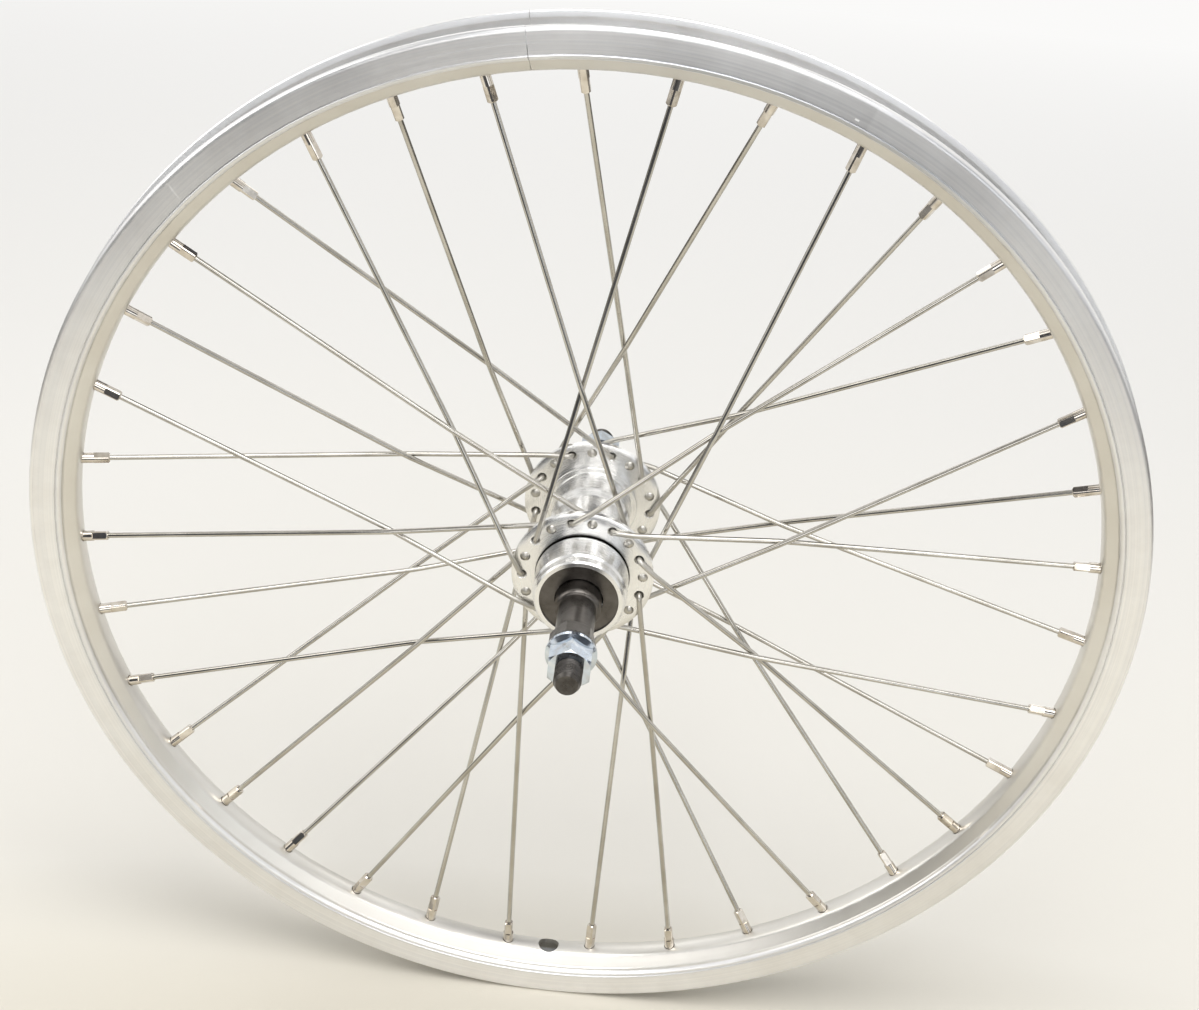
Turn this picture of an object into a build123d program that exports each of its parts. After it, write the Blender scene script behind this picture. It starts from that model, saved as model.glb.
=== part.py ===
"""Rear bicycle wheel, 20 inch, without tyre or freewheel.

Millimetres. The origin is the wheel centre, the axle lies along Y and +Z is up.
The drive side faces -Y. An angle around the wheel is counted from straight up,
clockwise as seen from the drive side.
"""
import math
import os

from build123d import *

# Sides of the wheel, as the sign of Y
DRIVE = -1
LEFT = 1

# Rim section: heights and depths from the bead seat, and half widths
bead_seat_radius = 203.0
bead_flange_height = 7.0
rim_half_width = 9.2
lip_round = 1.7
lip_width = 2.3
hook_depth = 2.2
side_wall = 1.6
brake_track_height = 9.7
track_groove = 0.35
shoulder_bead = 1.9
flank_top_half_width = 6.7
flank_bottom_half_width = 4.5
flank_blend = 0.9
bed_depth = 11.0
bed_crown = 1.0
bed_round = 2.0
bed_thickness = 2.4
well_half_width = 4.1
well_mouth_half_width = 5.3
channel_radius = 1.3
channel_half_spacing = 6.85
channel_depth = 3.1

# Rim joint and valve hole
seam_angle = 350.0
seam_gap = 0.25
pin_clearance = 0.02
pin_length = 34.0
valve_angle = 180.0
valve_hole_radius = 4.2

# Spokes and lacing
spoke_count = 36
spoke_radius = 1.0
crossings = 3
elbow_radius = 2.2
flange_bend_radius = 15.0
crossing_bend_radius = 40.0
crossing_clearance = 0.24
elbow_clearance = 0.15
flange_edge_clearance = 0.8
head_radius = 1.83
head_height = 0.9

# Nipples and their seats in the rim
nipple_stagger = 0.4
seat_depth = 0.5
nipple_hole_radius = 2.2
nipple_head_radius = 3.0
nipple_head_height = 2.0
nipple_slot_width = 1.0
nipple_slot_depth = 0.9
nipple_radius = 2.0
nipple_flats = 3.3
nipple_collar_length = 4.0
nipple_visible_length = 10.0
nipple_chamfer = 0.5
nipple_head_clearance = 0.2
spoke_end_gap = 0.6
thread_clearance = 0.05
flat_turn = 37.0

# Hub shell
flange_radius = 26.5
flange_thickness = 3.0
flange_edge_thickness = 1.7
flange_bevel_width = 1.4
hole_circle_radius = 22.5
spoke_hole_radius = 1.3
spoke_hole_chamfer = 0.6
drive_flange_offset = 15.9
left_flange_offset = 37.5
flange_root_radius = 17.5
flange_root_length = 2.6
barrel_radius = 15.2
barrel_shoulder_length = 11.0
waist_radius = 13.8
waist_slope_length = 4.0
waist_blend = 5.0
hub_bore_radius = 9.0
freewheel_thread_radius = 17.4
thread_undercut_depth = 1.2
thread_undercut_width = 1.5
thread_length = 11.5
pilot_radius = 16.7
drive_boss_length = 17.6
left_boss_radius = 16.5
left_boss_length = 7.0
boss_edge = 0.6

# Bearings: cup in the hub, loose balls, cone on the axle
ball_radius = 3.175
ball_count = 9
ball_circle_radius = 9.8
race_clearance = 0.05
cup_wall = 1.0
cup_floor = 1.2
cup_skirt = 1.5
cup_hole_radius = 7.4
press_clearance = 0.02
cap_thickness = 0.7
cap_skirt = 1.6
cap_seat_step = 0.6
cap_recess = 0.8
cap_hole_clearance = 0.4
ball_to_cap = 1.7

# Axle and what is screwed on it
axle_radius = 5.0
axle_stand_out = 9.5
axle_chamfer = 1.0
axle_taper_length = 2.2
cone_radius = 8.6
cone_nose = 1.2
cone_flats = 15.0
cone_round = 2.0
cone_flat_length = 2.6
cone_stand_out = 7.0
spacer_radius = 7.0
lock_face_offset = 67.5
lock_nut_flats = 15.0
lock_nut_thickness = 7.5
lock_nut_bevel = 1.3
lock_nut_turn = 18.0
washer_radius = 8.6
washer_thickness = 2.2
washer_teeth = 36
tooth_depth = 0.6
tooth_width = 0.75
axle_nut_flats = 15.0
axle_nut_hex_height = 8.0
axle_nut_flange_radius = 9.3
axle_nut_flange_height = 2.8
axle_nut_bevel = 1.0
hexagon_sides = 6
upright = 90.0

# Values worked out from the sizes above
rim_radius = bead_seat_radius + bead_flange_height
bed_radius = bead_seat_radius - bed_depth
channel_circle_radius = bead_seat_radius - channel_depth
spokes_per_flange = spoke_count // 2
nipple_pitch = 360.0 / spoke_count
hole_pitch = 360.0 / spokes_per_flange
lead_angle = crossings * hole_pitch
crossing_angle = lead_angle - hole_pitch / 2
seat_radius = bed_radius + bed_thickness - seat_depth
ball_to_end = ball_radius + ball_to_cap + cap_thickness + cap_recess
drive_end_offset = drive_flange_offset + flange_thickness / 2 + drive_boss_length
left_end_offset = left_flange_offset + flange_thickness / 2 + left_boss_length
drive_ball_offset = drive_end_offset - ball_to_end
left_ball_offset = left_end_offset - ball_to_end
drive_cone_end = drive_end_offset + cone_stand_out
left_cone_end = left_end_offset + cone_stand_out
race_radius = ball_radius + race_clearance
cup_radius = ball_circle_radius + race_radius + cup_wall
cup_back = race_radius + cup_floor
cap_seat_radius = cup_radius + cap_seat_step
cap_seat_depth = cap_recess + cap_thickness + cap_skirt
washer_face_offset = lock_face_offset + washer_thickness
axle_nut_top = washer_face_offset + axle_nut_flange_height + axle_nut_hex_height
axle_half_length = axle_nut_top + axle_stand_out
dome_radius = (head_radius**2 + head_height**2) / (2 * head_height)


def around(angle):
    """Unit vector from the axle towards an angle around the wheel."""
    return Vector(math.sin(math.radians(angle)), 0, math.cos(math.radians(angle)))


def section_plane(angle):
    """Plane through the axle whose x is the radius and whose y is along the axle."""
    outward = around(angle)
    return Plane(origin=(0, 0, 0), x_dir=outward, z_dir=outward.cross(Vector(0, 1, 0)))


def end_plane(side, offset):
    """Plane square to the axle, looking out of the wheel on one side."""
    return Plane(origin=(0, side * offset, 0), x_dir=(1, 0, 0), z_dir=(0, side, 0))


def nipple_angle(index):
    """Nipples straddle the valve hole, half a pitch to each side."""
    return valve_angle + (index + 0.5) * nipple_pitch


class Lacing:
    """Course of one spoke in its own plane: x runs to the rim, y along the axle."""

    def __init__(self, index):
        self.side = LEFT if index % 2 else DRIVE
        self.outside = (index // 2) % 2 == 1
        turn = -lead_angle if self.outside else lead_angle
        self.hole_angle = nipple_angle(index) + turn
        flange_offset = drive_flange_offset if self.side == DRIVE else left_flange_offset
        self.lift = 1 if self.outside else -1

        hole = around(self.hole_angle) * hole_circle_radius
        seat = around(nipple_angle(index)) * seat_radius
        run = seat - hole
        self.up = Vector(0, self.side * self.lift, 0)
        self.forward = run.normalized()
        self.plane = Plane(
            origin=hole + Vector(0, self.side * flange_offset, 0),
            x_dir=self.forward,
            z_dir=self.forward.cross(self.up),
        )

        lead = math.radians(lead_angle)
        slope = math.tan(math.radians(crossing_angle))
        along = seat_radius * math.cos(lead) - hole_circle_radius
        share = hole_circle_radius * slope / (seat_radius * math.sin(lead) - slope * along)
        chord = run.length
        edge = flange_radius + flange_edge_clearance
        reach = (hole_circle_radius**2 + chord**2 - seat_radius**2) / (2 * chord)
        past_edge = reach + math.sqrt(reach**2 + edge**2 - hole_circle_radius**2)

        pass_offset = spoke_radius + crossing_clearance / 2
        straight = flange_offset * (1 - share) + nipple_stagger * share
        crossing_height = (straight - flange_offset) * self.lift - pass_offset
        self.face = flange_thickness / 2
        self.top = self.face + spoke_radius + elbow_clearance
        self.bend = (past_edge, self.top)
        self.crossing = (chord * share, crossing_height)
        self.seat = (chord, (nipple_stagger - flange_offset) * self.lift)
        rise = self.seat[1] - self.crossing[1]
        last_run = self.seat[0] - self.crossing[0]
        self.axis = (self.forward * last_run + self.up * rise).normalized()
        stop = spoke_end_gap / math.hypot(last_run, rise)
        self.end = (self.seat[0] - stop * last_run, self.seat[1] - stop * rise)

    def seat_place(self, height, turn=0.0):
        """Place on the nipple's axis, at a height above its seat, turned about that axis."""
        origin = self.plane.from_local_coords(Vector(*self.seat)) + self.axis * height
        level = Plane(origin=origin, x_dir=self.plane.z_dir, z_dir=self.axis)
        return level.location * Rotation(0, 0, turn)

    def hole_plane(self):
        """Outer face of the flange at this spoke's hole."""
        outer = Vector(0, self.side, 0)
        return Plane(origin=self.plane.origin + outer * self.face, x_dir=(1, 0, 0), z_dir=outer)


lacings = [Lacing(index) for index in range(spoke_count)]


def make_spoke(lacing):
    """Round wire with a headed elbow, a set bend at the flange edge and one at the crossing."""
    with BuildPart() as spoke:
        with BuildLine(lacing.plane):
            course = FilletPolyline(
                (0, -lacing.face),
                (0, lacing.top),
                lacing.bend,
                lacing.crossing,
                lacing.end,
                radius=[elbow_radius, flange_bend_radius, crossing_bend_radius],
            )
        with BuildSketch(Plane(origin=course @ 0, z_dir=course % 0)):
            Circle(spoke_radius)
        sweep(path=course)
        core = spoke_radius / 2
        core_top = head_radius - core - lacing.face
        crown = -lacing.face - head_height
        with BuildSketch(lacing.plane):
            with BuildLine():
                dome = RadiusArc((head_radius, -lacing.face), (0, crown), dome_radius)
                Polyline(dome @ 1, (0, core_top), (core, core_top), dome @ 0)
            make_face()
        revolve(axis=Axis(lacing.plane.origin, lacing.plane.y_dir))
    return spoke.part


def make_cup(side, ball_offset):
    """Pressed steel cup whose race wraps the outer inboard quarter of the balls."""
    with BuildPart() as cup:
        with BuildSketch():
            with BuildLine():
                race_start = (ball_circle_radius, side * (ball_offset - race_radius))
                race_end = (ball_circle_radius + race_radius, side * ball_offset)
                TangentArc(race_start, race_end, tangent=(1, 0))
                Polyline(
                    race_end,
                    (race_end[0], side * (ball_offset + cup_skirt)),
                    (cup_radius - press_clearance, side * (ball_offset + cup_skirt)),
                    (cup_radius - press_clearance, side * (ball_offset - cup_back)),
                    (cup_hole_radius, side * (ball_offset - cup_back)),
                    (cup_hole_radius, race_start[1]),
                    race_start,
                )
            make_face()
        revolve(axis=Axis.Y)
    return cup.part


def make_balls(side, ball_offset):
    """Ring of loose balls, one of them on the upright through the axle."""
    with BuildPart() as balls:
        with Locations(end_plane(side, ball_offset)):
            with PolarLocations(ball_circle_radius, ball_count, start_angle=upright):
                Sphere(ball_radius)
    return balls.part


def make_dust_cap(side, end_offset):
    """Pressed sheet ring that closes the bearing around the cone."""
    face = side * (end_offset - cap_recess)
    back = side * (end_offset - cap_recess - cap_thickness)
    skirt_end = side * (end_offset - cap_seat_depth)
    rim = cap_seat_radius - press_clearance
    hole = cone_radius + cap_hole_clearance
    with BuildPart() as cap:
        with BuildSketch():
            with BuildLine():
                Polyline(
                    (hole, back),
                    (hole, face),
                    (rim, face),
                    (rim, skirt_end),
                    (rim - cap_thickness, skirt_end),
                    (rim - cap_thickness, back),
                    close=True,
                )
            make_face()
        revolve(axis=Axis.Y)
    return cap.part


def make_cone(side, ball_offset, cone_end):
    """Threaded cone whose race wraps the inner outboard quarter of the balls."""
    bore = axle_radius + thread_clearance
    nose_radius = ball_circle_radius - race_radius
    race_top = math.acos((ball_circle_radius - cone_radius) / race_radius)
    with BuildPart() as cone:
        with BuildSketch():
            with BuildLine():
                race_start = (nose_radius, side * ball_offset)
                race_end = (cone_radius, side * (ball_offset + race_radius * math.sin(race_top)))
                TangentArc(race_start, race_end, tangent=(0, side))
                wall = Line(race_end, (cone_radius, side * (cone_end - cone_round)))
                edge = TangentArc(wall @ 1, (cone_radius - cone_round, side * cone_end), tangent=(0, side))
                Polyline(
                    edge @ 1,
                    (bore, side * cone_end),
                    (bore, side * (ball_offset - cone_nose)),
                    (nose_radius, side * (ball_offset - cone_nose)),
                    race_start,
                )
            make_face()
        revolve(axis=Axis.Y)
        with BuildSketch(end_plane(side, cone_end)):
            Circle(2 * cone_radius)
            Rectangle(cone_flats, 4 * cone_radius, mode=Mode.SUBTRACT)
        extrude(amount=-cone_flat_length, mode=Mode.SUBTRACT)
    return cone.part


def make_spacer(side, start, stop):
    """Plain tube between a cone and its lock nut."""
    with BuildPart() as spacer:
        with BuildSketch(end_plane(side, start)):
            Circle(spacer_radius)
            Circle(axle_radius + thread_clearance, mode=Mode.SUBTRACT)
        extrude(amount=stop - start)
    return spacer.part


def make_lock_nut(side):
    """Hexagon nut, a little off corner up, with its inboard corners turned to a cone."""
    start = lock_face_offset - lock_nut_thickness
    corner = lock_nut_flats / math.sqrt(3)
    with BuildPart() as nut:
        with BuildSketch(end_plane(side, start)):
            RegularPolygon(corner, hexagon_sides, rotation=upright + lock_nut_turn)
            Circle(axle_radius + thread_clearance, mode=Mode.SUBTRACT)
        extrude(amount=lock_nut_thickness)
        with BuildSketch():
            with BuildLine():
                Polyline(
                    (0, side * start),
                    (corner - lock_nut_bevel, side * start),
                    (corner, side * (start + lock_nut_bevel)),
                    (corner, side * lock_face_offset),
                    (0, side * lock_face_offset),
                    close=True,
                )
            make_face()
        revolve(axis=Axis.Y, mode=Mode.INTERSECT)
    return nut.part


def make_axle_washer(side):
    """Washer with radial teeth on the face that bites the frame."""
    with BuildPart() as washer:
        with BuildSketch(end_plane(side, lock_face_offset)):
            Circle(washer_radius)
            Circle(axle_radius + thread_clearance, mode=Mode.SUBTRACT)
        extrude(amount=washer_thickness)
        tooth_length = washer_radius - lock_nut_flats / 2
        with BuildSketch(end_plane(side, lock_face_offset)):
            with PolarLocations(washer_radius, washer_teeth):
                Rectangle(2 * tooth_length, tooth_width)
        extrude(amount=tooth_depth, mode=Mode.SUBTRACT)
    return washer.part


def make_axle_nut(side):
    """Hexagon axle nut with a round flange, corner up, its outer corners turned."""
    corner = axle_nut_flats / math.sqrt(3)
    hex_start = washer_face_offset + axle_nut_flange_height
    top = axle_nut_top
    with BuildPart() as nut:
        with BuildSketch(end_plane(side, washer_face_offset)):
            RegularPolygon(corner, hexagon_sides, rotation=upright)
        extrude(amount=top - washer_face_offset)
        with BuildSketch():
            with BuildLine():
                Polyline(
                    (0, side * washer_face_offset),
                    (corner, side * washer_face_offset),
                    (corner, side * (top - axle_nut_bevel / 2)),
                    (corner - axle_nut_bevel, side * top),
                    (0, side * top),
                    close=True,
                )
            make_face()
        revolve(axis=Axis.Y, mode=Mode.INTERSECT)
        with BuildSketch():
            with BuildLine():
                Polyline(
                    (0, side * washer_face_offset),
                    (axle_nut_flange_radius, side * washer_face_offset),
                    (axle_nut_flange_radius, side * (washer_face_offset + axle_nut_flange_height / 2)),
                    (axle_nut_flats / 2, side * hex_start),
                    (0, side * hex_start),
                    close=True,
                )
            make_face()
        revolve(axis=Axis.Y)
        with BuildSketch(end_plane(side, washer_face_offset)):
            Circle(axle_radius + thread_clearance)
        extrude(amount=top - washer_face_offset, mode=Mode.SUBTRACT)
    return nut.part


# Rim: one extruded section rolled to a hoop, with a pin channel in each shoulder
track_bottom = rim_radius - brake_track_height
shoulder_top = track_bottom - 2 * track_groove
shoulder_low = shoulder_top - shoulder_bead
shoulder_half_width = rim_half_width - shoulder_bead
hook_radius = rim_radius - hook_depth
inner_wall = rim_half_width - side_wall
lip_inner = rim_half_width - lip_width
well_floor = bed_radius + bed_thickness
seam_turn = math.degrees(seam_gap / rim_radius)
bore_reach = rim_radius - seat_radius

with BuildPart() as rim:
    with BuildSketch(section_plane(seam_angle + seam_turn / 2)) as section:
        with BuildLine():
            bed = TangentArc(
                (bed_radius, 0), (bed_radius + bed_crown, flank_bottom_half_width), tangent=(0, 1)
            )
            flank = Polyline(
                bed @ 1,
                (shoulder_low, flank_top_half_width),
                (shoulder_low, shoulder_half_width),
            )
            bead = TangentArc(flank @ 1, (shoulder_top, rim_half_width), tangent=(0, 1))
            track = Polyline(
                bead @ 1,
                (track_bottom - track_groove, rim_half_width - track_groove),
                (track_bottom, rim_half_width),
                (rim_radius - lip_round, rim_half_width),
            )
            lip = TangentArc(track @ 1, (rim_radius, rim_half_width - lip_round), tangent=(1, 0))
            Polyline(
                lip @ 1,
                (rim_radius, lip_inner + track_groove),
                (rim_radius - track_groove, lip_inner),
                (hook_radius, lip_inner),
                (hook_radius - side_wall, inner_wall),
                (bead_seat_radius, inner_wall),
                (bead_seat_radius - track_groove, well_mouth_half_width),
                (well_floor, well_half_width),
                (well_floor, 0),
                bed @ 0,
            )
        make_face()
        fillet(section.vertices().sort_by_distance(bed @ 1)[0], bed_round)
        fillet(section.vertices().sort_by_distance((shoulder_low, flank_top_half_width))[0], flank_blend)
        with Locations((channel_circle_radius, channel_half_spacing)):
            Circle(channel_radius, mode=Mode.SUBTRACT)
        mirror(about=Plane.XZ)
    revolve(axis=Axis.Y, revolution_arc=360 - seam_turn)
    with Locations(*[lacing.seat_place(bore_reach) for lacing in lacings]):
        CounterBoreHole(
            nipple_hole_radius,
            nipple_head_radius + nipple_head_clearance,
            counter_bore_depth=bore_reach,
            depth=bore_reach + 2 * bed_thickness,
        )
    with Locations(Plane(origin=around(valve_angle) * rim_radius, z_dir=around(valve_angle))):
        Hole(valve_hole_radius, depth=rim_radius - bed_radius + bed_thickness)

# Two pins pressed into the channels across the butt joint
pin_turn = math.degrees(pin_length / channel_circle_radius)

with BuildPart() as rim_joint_pins:
    with BuildSketch(section_plane(seam_angle - pin_turn / 2)):
        with Locations(
            (channel_circle_radius, channel_half_spacing), (channel_circle_radius, -channel_half_spacing)
        ):
            Circle(channel_radius - pin_clearance)
    revolve(axis=Axis.Y, revolution_arc=pin_turn)

# Nipple: round collar, square for the spanner, slotted head on the tyre side
collar_end = seat_radius - bed_radius + nipple_collar_length
nipple_end = seat_radius - bed_radius + nipple_visible_length

with BuildPart() as nipple:
    with BuildSketch(Plane.XY.offset(-nipple_end)):
        Circle(nipple_radius)
    extrude(amount=nipple_end)
    chamfer(nipple.faces().sort_by(Axis.Z)[0].edges(), nipple_chamfer)
    with BuildSketch(Plane.XY.offset(-nipple_end)):
        Circle(nipple_head_radius)
        Rectangle(nipple_flats, nipple_flats, mode=Mode.SUBTRACT)
    extrude(amount=nipple_end - collar_end, mode=Mode.SUBTRACT)
    with BuildSketch():
        Circle(nipple_head_radius)
    extrude(amount=nipple_head_height)
    chamfer(nipple.faces().sort_by(Axis.Z)[-1].edges(), nipple_chamfer)
    with BuildSketch(Plane.XY.offset(nipple_head_height)):
        Rectangle(2 * nipple_head_radius, nipple_slot_width)
    extrude(amount=-nipple_slot_depth, mode=Mode.SUBTRACT)
    with BuildSketch(Plane.XY.offset(-nipple_end)):
        Circle(spoke_radius + thread_clearance)
    extrude(amount=nipple_end, mode=Mode.SUBTRACT)

with BuildPart() as nipples:
    with Locations(*[lacing.seat_place(0, flat_turn * turn) for turn, lacing in enumerate(lacings)]):
        add(nipple.part)

# Hub shell: two drilled flanges, a waisted barrel and the freewheel boss
drive_face = drive_flange_offset + flange_thickness / 2
drive_back = drive_flange_offset - flange_thickness / 2
left_face = left_flange_offset + flange_thickness / 2
left_back = left_flange_offset - flange_thickness / 2
bevel = (flange_thickness - flange_edge_thickness) / 2
bevel_radius = flange_radius - flange_bevel_width
thread_start = drive_face + thread_undercut_width
thread_end = thread_start + thread_length
lead_in = freewheel_thread_radius - pilot_radius
undercut_radius = freewheel_thread_radius - thread_undercut_depth
drive_root = drive_back - flange_root_length
left_root = left_back - flange_root_length
drive_waist = drive_root - barrel_shoulder_length
left_waist = left_root - barrel_shoulder_length

with BuildPart() as hub_shell:
    with BuildSketch():
        with BuildLine():
            boss = Polyline(
                (cap_seat_radius, -drive_end_offset),
                (pilot_radius - boss_edge, -drive_end_offset),
                (pilot_radius, boss_edge - drive_end_offset),
                (pilot_radius, -thread_end - lead_in),
                (freewheel_thread_radius, -thread_end),
                (freewheel_thread_radius, -thread_start),
                (undercut_radius, -thread_start),
                (undercut_radius, -drive_face),
                (bevel_radius, -drive_face),
                (flange_radius, bevel - drive_face),
                (flange_radius, -drive_back - bevel),
                (bevel_radius, -drive_back),
                (flange_root_radius, -drive_back),
            )
            barrel = FilletPolyline(
                boss @ 1,
                (flange_root_radius, -drive_root),
                (barrel_radius, -drive_root),
                (barrel_radius, -drive_waist),
                (waist_radius, waist_slope_length - drive_waist),
                (waist_radius, left_waist - waist_slope_length),
                (barrel_radius, left_waist),
                (barrel_radius, left_root),
                (flange_root_radius, left_root),
                (flange_root_radius, left_back),
                radius=[boss_edge, boss_edge, waist_blend, waist_blend]
                + [waist_blend, waist_blend, boss_edge, boss_edge],
            )
            Polyline(
                barrel @ 1,
                (bevel_radius, left_back),
                (flange_radius, left_back + bevel),
                (flange_radius, left_face - bevel),
                (bevel_radius, left_face),
                (left_boss_radius, left_face),
                (left_boss_radius, left_end_offset - boss_edge),
                (left_boss_radius - boss_edge, left_end_offset),
                (cap_seat_radius, left_end_offset),
                (cap_seat_radius, left_end_offset - cap_seat_depth),
                (cup_radius, left_end_offset - cap_seat_depth),
                (cup_radius, left_ball_offset - cup_back),
                (hub_bore_radius, left_ball_offset - cup_back),
                (hub_bore_radius, cup_back - drive_ball_offset),
                (cup_radius, cup_back - drive_ball_offset),
                (cup_radius, cap_seat_depth - drive_end_offset),
                (cap_seat_radius, cap_seat_depth - drive_end_offset),
                boss @ 0,
            )
        make_face()
    revolve(axis=Axis.Y)
    with Locations(*[lacing.hole_plane() for lacing in lacings]):
        Hole(spoke_hole_radius, depth=flange_thickness)
    hole_edges = hub_shell.edges().filter_by(GeomType.CIRCLE)
    chamfer(hole_edges.filter_by(lambda edge: edge.radius < 2 * spoke_hole_radius), spoke_hole_chamfer)

# Axle: one solid rod with chamfered ends
with BuildPart() as axle:
    with BuildSketch(end_plane(DRIVE, axle_half_length)):
        Circle(axle_radius)
    extrude(amount=-2 * axle_half_length)
    for end in axle.faces().filter_by(Axis.Y):
        chamfer(end.edges(), axle_chamfer, axle_taper_length, reference=end)

pieces = {
    "rim": rim.part,
    "rim_joint_pins": rim_joint_pins.part,
    "nipples": nipples.part,
    "hub_shell": hub_shell.part,
    "axle": axle.part,
}
for index, lacing in enumerate(lacings):
    pieces[f"spoke_{index + 1:02d}"] = make_spoke(lacing)

lock_nut_start = lock_face_offset - lock_nut_thickness
ends = {
    "drive": (DRIVE, drive_end_offset, drive_ball_offset, drive_cone_end),
    "left": (LEFT, left_end_offset, left_ball_offset, left_cone_end),
}
for name, (side, end_offset, ball_offset, cone_end) in ends.items():
    pieces[f"{name}_bearing_cup"] = make_cup(side, ball_offset)
    pieces[f"{name}_balls"] = make_balls(side, ball_offset)
    pieces[f"{name}_dust_cap"] = make_dust_cap(side, end_offset)
    pieces[f"{name}_cone"] = make_cone(side, ball_offset, cone_end)
    pieces[f"{name}_spacer"] = make_spacer(side, cone_end, lock_nut_start)
    pieces[f"{name}_lock_nut"] = make_lock_nut(side)
    pieces[f"{name}_axle_washer"] = make_axle_washer(side)
    pieces[f"{name}_axle_nut"] = make_axle_nut(side)

os.makedirs("parts", exist_ok=True)
for name, piece in pieces.items():
    piece.label = name
    export_step(piece, f"parts/{name}.step")
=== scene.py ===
"""Looks of the rear bicycle wheel: materials, threads, floor, light and camera."""
import math

import bpy
import numpy as np
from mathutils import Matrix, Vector
from mathutils.kdtree import KDTree


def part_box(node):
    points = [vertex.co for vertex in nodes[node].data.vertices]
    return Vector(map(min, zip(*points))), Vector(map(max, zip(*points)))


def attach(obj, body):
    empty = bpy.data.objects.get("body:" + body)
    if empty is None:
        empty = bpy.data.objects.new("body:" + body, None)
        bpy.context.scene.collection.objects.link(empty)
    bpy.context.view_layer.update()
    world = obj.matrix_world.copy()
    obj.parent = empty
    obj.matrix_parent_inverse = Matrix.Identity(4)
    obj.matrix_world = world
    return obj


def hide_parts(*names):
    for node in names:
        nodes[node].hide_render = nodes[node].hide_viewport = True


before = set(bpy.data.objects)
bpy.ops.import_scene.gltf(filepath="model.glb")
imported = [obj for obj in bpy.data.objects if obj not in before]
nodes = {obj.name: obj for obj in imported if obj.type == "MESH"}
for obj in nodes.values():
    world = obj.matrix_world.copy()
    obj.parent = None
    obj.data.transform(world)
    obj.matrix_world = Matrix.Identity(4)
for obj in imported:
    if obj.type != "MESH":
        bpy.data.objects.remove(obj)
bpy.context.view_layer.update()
scene = bpy.context.scene

# Sizes in metres, as in the frame; the axle lies along Y
MM = 0.001
X, Y, Z = range(3)
SIDES = ("drive", "left")

# Rim: braking track, channel for the tyre and face of the near side
TRACK_EDGE = 197.9 * MM
TRACK_FADE = 0.2 * MM
GRIME_FROM = TRACK_EDGE + 1.4 * MM
GRIME_TO = TRACK_EDGE + 2.4 * MM
GRIME_FADE = 0.8 * MM
CHANNEL_HALF_WIDTH = 6.8 * MM
CHANNEL_FADE = 0.2 * MM
CHANNEL_FROM = 198.2 * MM
CHANNEL_FULL = 198.8 * MM
NEAR_FACE_FROM = -8.4 * MM
NEAR_FACE_FULL = -8.8 * MM

# Painted dark reflection and marks of use on the near side of the rim: places and directions as x and z,
# half length and half width
# The darker arc at the upper right of the track is a painted dark reflection
DARK_REFLECTION_X = (22.0 * MM, 95.0 * MM)
DARK_REFLECTION_X_FADE = 50.0 * MM
DARK_REFLECTION_Z = (80.0 * MM, 120.0 * MM)
DARK_REFLECTION_LEAST_AT = TRACK_EDGE + 10.0 * MM
DARK_REFLECTION_MOST_AT = TRACK_EDGE + 1.0 * MM
RUB_PLACE = (72.7 * MM, 190.5 * MM)
RUB_WAY = (0.354, 0.935)
RUB_HALVES = (5.2 * MM, 11.0 * MM)
RUB_X = (58.0 * MM, 82.0 * MM)
SCRATCH_PLACE = (-154.6 * MM, 134.0 * MM)
SCRATCH_WAY = (0.610, -0.792)
SCRATCH_HALVES = (4.0 * MM, 0.35 * MM)
NICK_PLACE = (77.5 * MM, 186.3 * MM)
NICK_WAY = (0.92, -0.39)
NICK_HALVES = (1.0 * MM, 0.45 * MM)

# Rim lips and the butt joint between their ends
SEAM_ANGLE = 350.0
SEAM_GAP = 0.25 * MM
LIP_ROUND = 1.7 * MM
LIP_WIDTH = 2.3 * MM
LIP_CHAMFER = 0.35 * MM
LIP_BENDS = 8
LIP_STEPS = 1080
LIP_SHARP_ANGLE = 30.0

# Even shading of turned forms: which faces are turned, and which places and slopes count as one
TURNED_LIMIT = 0.25
SECTION_STEP = 0.05 * MM
SECTION_REACH = 0.25 * MM
SLOPE_STEP = 4.0
SAME_SLOPE = math.cos(math.radians(40.0))
TINY = 1e-9

# Hub and spokes: painted shade in the groove at the root of the boss, forged heads at the flanges
GROOVE_RADII = (15.8 * MM, 17.5 * MM)
GROOVE_RADII_FADE = 0.3 * MM
GROOVE_Y = (-18.8 * MM, -17.3 * MM)
GROOVE_Y_FADE = 0.1 * MM
FORGED_FROM = 34.0 * MM
FORGED_FULL = 30.0 * MM

# Axle and its washers; root and flank are shares of half a pitch
THREAD_PITCH = 1.0 * MM
THREAD_DEPTH = 0.55 * MM
THREAD_ROOT = 0.20
THREAD_FLANK = 0.65
THREAD_STEP = 0.1 * MM
THREAD_FROM = 62.0 * MM
AXLE_COLUMNS = 64
AXLE_TAPER = 2.2 * MM
AXLE_CHAMFER = 1.0 * MM
TEETH_Y = (67.3 * MM, 68.4 * MM)
TEETH_FADE = 0.2 * MM

# Floor, and the cards that stand or lie round it
FLOOR_HEIGHT = -0.210
FLOOR_HALF = 4.0
FLOOR_PALING = 0.55
# A stain and a painted shadow on the floor where the wheel stands
STAIN_AND_SHADE_PLACE = (0.02, -0.10, FLOOR_HEIGHT)
STAIN_AND_SHADE_HALF_SIZE = (0.42, 0.17, 1.0)
FAR_BACK = (0.55, 1.25)
FAR_ROUND = (0.85, 1.55)
CARD_LEVEL = FLOOR_HEIGHT + MM
CARD_FRONT = -0.58
CARD_FADE_FROM = -1.00
CARD_SIDE = 0.80
CARD_OVER = 1.5
OVER_Y = (-0.5, 0.4)

# Camera, at the photograph's angle
CAMERA_PLACE = (0.01957, -0.81623, 0.50020)
CAMERA_TURN = (59.464, -4.7645, 3.9326)
CAMERA_LENS = 76.17
CAMERA_SENSOR = 36.0

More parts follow.
